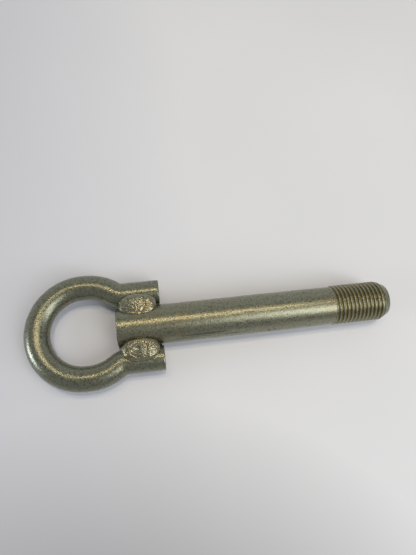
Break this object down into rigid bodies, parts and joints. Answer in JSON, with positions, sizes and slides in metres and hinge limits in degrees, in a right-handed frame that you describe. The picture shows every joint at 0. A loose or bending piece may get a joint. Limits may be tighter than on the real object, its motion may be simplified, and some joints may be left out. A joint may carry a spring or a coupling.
{
  "type": "towing eye bolt",
  "caption": "Round steel bar with a threaded end and a bent rod eye welded along its sides, screwed into a socket to give a pulling point.",
  "frame": {"origin": "the middle of the eye, on the bar's centre line", "axes": "+X along the bar from the eye to the threaded tip, +Y across the eye to the left leg, +Z square to the eye's plane"},
  "size_m": [0.1793, 0.056, 0.0198],
  "materials": {
    "shank": "dull zinc plating, finely pitted, with draw marks along the bar",
    "eye": "dull zinc plating over bent rod, finely pitted",
    "weld": "rippled arc weld under the same zinc plating"
  },
  "bodies": {
    "root": {"shank": "shank", "eye": "eye", "weld_front_left": "weld", "weld_front_right": "weld", "weld_back_left": "weld", "weld_back_right": "weld"}
  },
  "joints": []
}
